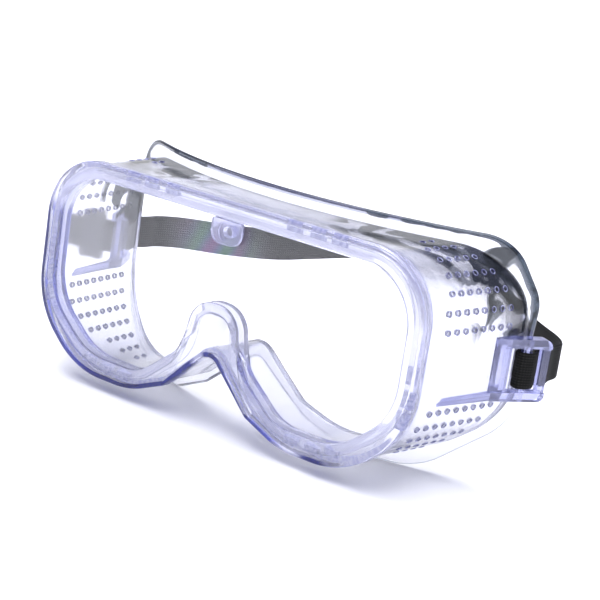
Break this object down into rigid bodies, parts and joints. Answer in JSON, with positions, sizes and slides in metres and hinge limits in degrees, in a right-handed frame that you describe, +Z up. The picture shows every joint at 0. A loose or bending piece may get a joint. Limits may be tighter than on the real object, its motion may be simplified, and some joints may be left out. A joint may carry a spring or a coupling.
{
  "type": "safety goggles",
  "caption": "Direct-vent safety goggles: soft clear frame with a flat lens, perforated side walls, face flange, ladder lugs and an elastic headband that swings at the temples.",
  "frame": {"origin": "middle of the footprint, at the lowest point of the face flange", "axes": "+Z up, the lens faces -Y, the headband reaches to +Y, X runs from temple to temple"},
  "size_m": [0.202, 0.1624, 0.0818],
  "materials": {
    "frame_pvc": "clear soft vinyl with a faint violet tint",
    "lens_clear": "clear, polished",
    "webbing": "woven elastic",
    "slide_plastic": "moulded, slightly rough"
  },
  "bodies": {
    "frame": {"rim": "frame_pvc", "shell_brow": "frame_pvc", "shell_temple_right": "frame_pvc", "shell_temple_left": "frame_pvc", "shell_cheek_right": "frame_pvc", "shell_cheek_left": "frame_pvc", "nose_bridge": "frame_pvc", "face_flange": "frame_pvc", "strap_lug_right": "frame_pvc", "strap_lug_left": "frame_pvc", "lens_tab": "frame_pvc", "lens": "lens_clear", "band_end_right": "webbing", "band_end_left": "webbing", "band_tail": "webbing"},
    "headband": {"headband": "webbing"},
    "slide": {"adjuster_slide": "slide_plastic"}
  },
  "joints": [
    {"name": "headband_swing", "type": "hinge", "parent": "frame", "child": "headband", "pos_m": [0.00563, -0.01622, 0.0411], "axis": [1, 0, 0], "range_deg": [-20, 75]},
    {"name": "slide_travel", "type": "slide", "parent": "frame", "child": "slide", "axis": [-0.866, -0.5, 0], "range_m": [0, 0.005]}
  ]
}
